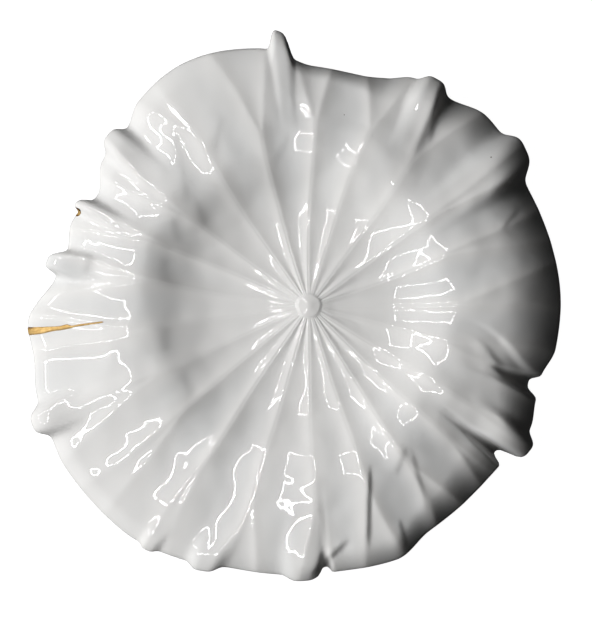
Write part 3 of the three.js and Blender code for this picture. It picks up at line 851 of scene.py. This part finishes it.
porcelain, start = new_finish("glazed_porcelain")
place = start.node("ShaderNodeTexCoord", {}, {}, "Object")
pool = start.node("ShaderNodeAttribute", {"attribute_name": "pool"}, {}, "Fac")
bare = start.node("ShaderNodeAttribute", {"attribute_name": "bare"}, {}, "Fac")
clouds = noise_of(start, place, scale=22.0, detail=3.0)
grain = noise_of(start, place, scale=900.0, detail=2.0)
pooled = limited(pool + (clouds - 0.5) * POOL_FRAY, 0.1, 1.1)
white = blended(start, limited(clouds, 0.35, 0.7), GLAZE_WHITE, GLAZE_THIN)
color = blended(start, pooled, white, GLAZE_POOLED)
plan = start.node("ShaderNodeVectorMath", {"operation": "MULTIPLY"}, {0: place, 1: (1, 1, 0)})
speck_mask = None
for speck_x, speck_y in SPECKS:
    centre = (knob_x + speck_x * MM, knob_y + speck_y * MM, 0)
    away = start.node("ShaderNodeVectorMath", {"operation": "DISTANCE"}, {0: plan, 1: centre}, "Value")
    frayed = away + (grain - 0.5) * (SPECK_FRAY * MM)
    spot = 1 - limited(frayed, SPECK_RADIUS / 2 * MM, SPECK_RADIUS * MM)
    speck_mask = spot if speck_mask is None else speck_mask + spot
height = start.node("ShaderNodeSeparateXYZ", {}, {0: place}, "Z")
on_top = limited(height, UPPER_FACE[0] * MM, UPPER_FACE[1] * MM)
color = blended(start, limited(speck_mask * on_top, 0, 1) * SPECK_SHARE, color, IRON)
color = blended(start, bare, color, BISCUIT)
gloss = GLOSS + clouds * GLOSS_DRIFT + bare * BISCUIT_ROUGHNESS
waviness = noise_of(start, place, scale=75.0, detail=2.0, roughness=0.4)
relief = waviness * (1 - bare) + bare * grain * 2
bump = bumped(relief, GLAZE_BUMP, GLAZE_BUMP_HEIGHT)
finish_surface(start, {"Base Color": color, "Roughness": gloss, "IOR": 1.5, "Normal": bump})
bowl.data.materials.clear()
bowl.data.materials.append(porcelain)
print("porcelain has", len(porcelain.node_tree.nodes), "nodes")

# %% [markdown]
# ## Gold lacquer
# The gold is powder dusted on lacquer and rubbed. Its grains lie every way, so it is only half as
# metallic as a sheet of gold and shows its colour from all sides. Its roughness and its colour change
# over a few millimetres, and along its borders and round the lip the brown lacquer shows through.

# %% Gold
GOLD_BRIGHT = (0.83, 0.56, 0.22, 1)
GOLD_DEEP = (0.62, 0.36, 0.10, 1)
LACQUER = (0.16, 0.075, 0.02, 1)
GOLD_METAL = 0.5
WORN_METAL = 0.3
WEAR = 0.55
WEAR_FRAY = 0.9
WEAR_START = 0.62
GOLD_BUMP = 0.35
GOLD_BUMP_HEIGHT = 0.2

gold, start = new_finish("gold_lacquer")
place = start.node("ShaderNodeTexCoord", {}, {}, "Object")
border = start.node("ShaderNodeAttribute", {"attribute_name": "border"}, {}, "Fac")
at_lip = start.node("ShaderNodeAttribute", {"attribute_name": "at_lip"}, {}, "Fac")
patches = noise_of(start, place, scale=420.0, detail=3.0, roughness=0.6)
dust = noise_of(start, place, scale=2600.0, detail=2.0)
color = blended(start, limited(patches, 0.35, 0.7), GOLD_BRIGHT, GOLD_DEEP)
worn = limited((border + at_lip) * WEAR + (patches - 0.5) * WEAR_FRAY, WEAR_START, 1.0)
color = blended(start, worn, color, LACQUER)
relief = dust + patches * 2
bump = bumped(relief, GOLD_BUMP, GOLD_BUMP_HEIGHT)
metal = GOLD_METAL - worn * WORN_METAL
rubbed = 0.3 + patches * 0.25
finish_surface(start, {"Base Color": color, "Metallic": metal, "Roughness": rubbed, "Normal": bump})
for piece in (seam, chip):
    piece.data.materials.clear()
    piece.data.materials.append(gold)
print("gold has", len(gold.node_tree.nodes), "nodes")

# %% [markdown]
# ## A ground without shadow
# The dish is seen on a plain ground, pale enough to swallow its shadow, as on a lit table of opal glass.
# The ground is flat in the middle and climbs all round, so no edge of it shows from any side. It throws no
# light back at the dish, which keeps the lip's far side as dark as a studio's black cloth would.

# %% The floor
FLOOR_RADIUS = 9000
FLOOR_FLAT = 5400
FLOOR_DROP = -0.15
FLOOR_COLUMNS = 96

bend_radius = FLOOR_RADIUS - FLOOR_FLAT
floor_line = [(0, 0, FLOOR_DROP), (FLOOR_FLAT, 0, FLOOR_DROP)]
for turn in np.radians(np.linspace(10, 90, 9)):
    climb = FLOOR_DROP + bend_radius * (1 - math.cos(turn))
    floor_line.append((FLOOR_FLAT + bend_radius * math.sin(turn), 0, climb))
floor_line.append((FLOOR_RADIUS, 0, FLOOR_RADIUS))
floor = start_piece("floor")
draw_line(floor_line)
spin_line(FLOOR_COLUMNS, merge_distance=1)
bpy.ops.mesh.normals_make_consistent(inside=True)
bpy.ops.object.mode_set(mode="OBJECT")
smooth_shading(floor, sharp_from=40)
floor.visible_diffuse = False
floor.visible_glossy = False

ground, start = new_finish("pale_ground")
finish_surface(start, {
    "Base Color": (0.2, 0.2, 0.2, 1), "Roughness": 0.9, "Specular IOR Level": 0.0,
    "Emission Color": (1, 1, 1, 1), "Emission Strength": 1.0,
})
floor.data.materials.clear()
floor.data.materials.append(ground)
print("floor", [round(size, 1) for size in floor.dimensions], "m")

# %% [markdown]
# ## Light that shades and light that shines
# One broad lamp stands half way up on the left. It shades the slopes, and the glaze doesn't mirror it.
# The glaze mirrors a second box, higher up: its face is hardly lit, and its bright border draws thin
# closed outlines on every swell that tilts the right way. A lamp is kept out of reflections, or out of
# the shading, by its own switches.

# %% The lights
KEY_ELEVATION = 41
LAMP_DISTANCE = 1.77
KEY_SIZE = 1.2
KEY_POWER = 40.5
BOX_ELEVATION = 66
BOX_SIZE = 0.9
BOX_BORDER = 0.013
BOX_POWER = 1.0
BORDER_POWER = 3.0
WORLD_POWER = 0.014


def lamp(name, elevation, size, power, shift=(0, 0)):
    """A rectangle of light to the left of the bowl that faces it. The shift slides it in its own plane."""
    light = bpy.data.lights.new(name, "AREA")
    light.shape = "RECTANGLE"
    light.size, light.size_y = size
    light.energy = power
    box = bpy.data.objects.new(name, light)
    up = math.radians(elevation)
    place = Vector((-math.cos(up), 0, math.sin(up))) * LAMP_DISTANCE
    turn = (-place).to_track_quat("-Z", "Y")
    box.location = place + turn @ Vector((shift[0], shift[1], 0))
    box.rotation_euler = turn.to_euler()
    box.visible_camera = False
    bpy.context.scene.collection.objects.link(box)
    return box


key = lamp("key", KEY_ELEVATION, (KEY_SIZE, KEY_SIZE), KEY_POWER)
key.visible_glossy = False

edge = (BOX_SIZE + BOX_BORDER) / 2
shining = [lamp("box", BOX_ELEVATION, (BOX_SIZE, BOX_SIZE), BOX_POWER)]
for side in (-edge, edge):
    shining.append(lamp("border", BOX_ELEVATION, (BOX_BORDER, BOX_SIZE), BORDER_POWER, (side, 0)))
    shining.append(lamp("border", BOX_ELEVATION, (BOX_SIZE, BOX_BORDER), BORDER_POWER, (0, side)))
for box in shining:
    box.visible_diffuse = False

world = bpy.data.worlds.new("studio")
world.use_nodes = True
sky = world.node_tree.nodes["Background"]
sky.inputs["Color"].default_value = (1, 1, 1, 1)
sky.inputs["Strength"].default_value = WORLD_POWER
bpy.context.scene.world = world
bpy.context.scene.view_settings.view_transform = "Standard"
print("one lamp shades the bowl, and", len(shining), "shine in its glaze")

# %% [markdown]
# ## Looking straight down
# The photograph was taken from straight above. A long lens far away hardly widens what is nearer to it,
# so the crest and the foot keep their places. The lens follows from the size that one pixel of the
# picture stands for.

# %% The camera
PHOTO_WIDTH = 592
PHOTO_HEIGHT = 627
MM_PER_PIXEL = 0.56
FRAME_PLANE = 0.014
KNOB_PIXEL = (309.0, 306.0)
CAMERA_HEIGHT = 2.6
SENSOR_WIDTH = 36

across = (PHOTO_WIDTH / 2 - KNOB_PIXEL[0]) * MM_PER_PIXEL * MM
down = (PHOTO_HEIGHT / 2 - KNOB_PIXEL[1]) * MM_PER_PIXEL * MM
camera_data = bpy.data.cameras.new("camera")
camera = bpy.data.objects.new("camera", camera_data)
camera.location = (knob_x + across, knob_y - down, CAMERA_HEIGHT)
camera.rotation_euler = (0, 0, 0)
camera_data.sensor_width = SENSOR_WIDTH
camera_data.lens = SENSOR_WIDTH * (CAMERA_HEIGHT - FRAME_PLANE) / (PHOTO_HEIGHT * MM_PER_PIXEL * MM)
camera_data.clip_end = 60
bpy.context.scene.collection.objects.link(camera)
bpy.context.scene.camera = camera
print("lens", round(camera_data.lens), "mm, camera over", [round(c / MM, 1) for c in camera.location[:2]])

# %% [markdown]
# ## Joining the frame
# Each piece rides on the model's one body and stands for the solid it was made from.

# %% Hand the pieces to the frame
for piece, node, slot in (
    (bowl, "bowl", "porcelain"), (seam, "gold_seam", "gold_lacquer"), (chip, "gold_chip", "gold_lacquer"),
):
    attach(piece, "root")
    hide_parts(node)
